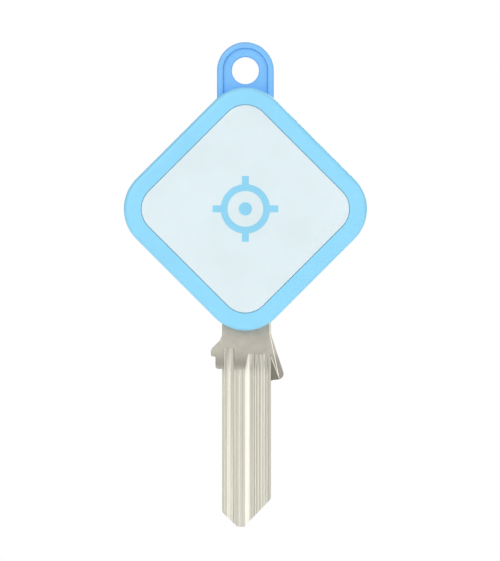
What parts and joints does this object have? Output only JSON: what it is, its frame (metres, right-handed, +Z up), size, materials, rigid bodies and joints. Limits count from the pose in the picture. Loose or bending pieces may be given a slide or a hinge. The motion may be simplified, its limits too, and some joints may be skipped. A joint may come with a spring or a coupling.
{
  "type": "key-head bluetooth tracker tag",
  "caption": "Radio tracker tag built as the head of a key blank: round-cornered diamond case with a press-in face button, hanging eyelet, turn-off battery door and grooved blade.",
  "frame": {"origin": "centre of the hanging eyelet, halfway through its web; y = 0 is also the middle plane of the key blade and of the case", "axes": "+Z up, towards the top of the eyelet, with the blade hanging down; -Y is the front, the side of the face button; +Y is the rear, the side of the battery door; +X is right as seen from the front"},
  "size_m": [0.0422, 0.0086, 0.0843],
  "materials": {
    "bezel_plastic": "satin-gloss moulded ABS, pale sky blue",
    "rear_plastic": "satin-gloss moulded ABS, deeper blue",
    "button_plastic": "gloss moulded ABS, near white with a blue cast",
    "symbol_plastic": "second shot of blue ABS, flush",
    "gasket_rubber": "moulded silicone",
    "screw_steel": "nickel-plated steel",
    "key_nickel": "nickel-plated brass, brushed along the blade, fine matte neck",
    "pin_steel": "ground steel",
    "board_laminate": "solder-masked glass epoxy",
    "chip_black": "moulded epoxy",
    "antenna_ceramic": "fired ceramic",
    "crystal_metal": "seam-welded lid",
    "capacitor_ceramic": "fired ceramic with tinned ends",
    "resistor_black": "glazed film with tinned ends",
    "gold_pad": "gold over nickel",
    "switch_plastic": "moulded nylon",
    "switch_steel": "stainless strip",
    "dome_steel": "stainless spring strip",
    "plunger_plastic": "moulded acetal",
    "adhesive_tape": "double-sided tape",
    "buzzer_brass": "rolled sheet",
    "buzzer_ceramic": "piezo ceramic with a silvered face",
    "contact_bronze": "gold-flashed phosphor bronze",
    "cell_steel": "nickel-plated steel",
    "cell_seal": "moulded polypropylene",
    "pad_foam": "closed-cell foam",
    "seal_rubber": "nitrile",
    "door_plastic": "satin-gloss moulded ABS, deeper blue"
  },
  "bodies": {
    "housing": {"front_shell": "bezel_plastic", "rear_shell": "rear_plastic", "seam_gasket": "gasket_rubber", "housing_screws": "screw_steel", "key_blade": "key_nickel", "blade_pins": "pin_steel", "circuit_board": "board_laminate", "radio_chip": "chip_black", "antenna_chip": "antenna_ceramic", "timing_crystals": "crystal_metal", "chip_capacitors": "capacitor_ceramic", "chip_resistors": "resistor_black", "test_pads": "gold_pad", "switch_base": "switch_plastic", "switch_cover": "switch_steel", "snap_dome": "dome_steel", "buzzer_adhesive": "adhesive_tape", "buzzer_plate": "buzzer_brass", "buzzer_ceramic": "buzzer_ceramic", "buzzer_springs": "contact_bronze", "positive_contact": "contact_bronze", "negative_contact": "contact_bronze", "cell_can": "cell_steel", "cell_gasket": "cell_seal", "cell_cap": "cell_steel"},
    "face_button": {"face_button": "button_plastic", "button_symbol": "symbol_plastic"},
    "switch_plunger": {"switch_plunger": "plunger_plastic"},
    "door_seal": {"door_seal": "seal_rubber"},
    "battery_door": {"battery_door": "door_plastic", "cell_pad": "pad_foam"}
  },
  "joints": [
    {"name": "button_press", "type": "slide", "parent": "housing", "child": "face_button", "axis": [0, 1, 0], "range_m": [0, 0.00025], "stiffness_N_per_m": 4000, "springref_m": -0.0002},
    {"name": "plunger_press", "type": "slide", "parent": "housing", "child": "switch_plunger", "axis": [0, 1, 0], "range_m": [0, 0.00025], "deforming": ["snap_dome"]},
    {"name": "door_rise", "type": "slide", "parent": "housing", "child": "door_seal", "axis": [0, 1, 0], "range_m": [0, 0.0004]},
    {"name": "door_turn", "type": "hinge", "parent": "door_seal", "child": "battery_door", "pos_m": [0, 0.0043, -0.0241], "axis": [0, 1, 0], "range_deg": [0, 50]}
  ],
  "couplings": [
    {"joint": "plunger_press", "follows": "button_press", "ratio": 1},
    {"joint": "door_turn", "follows": "door_rise", "rad_per_m": 2181.7}
  ]
}
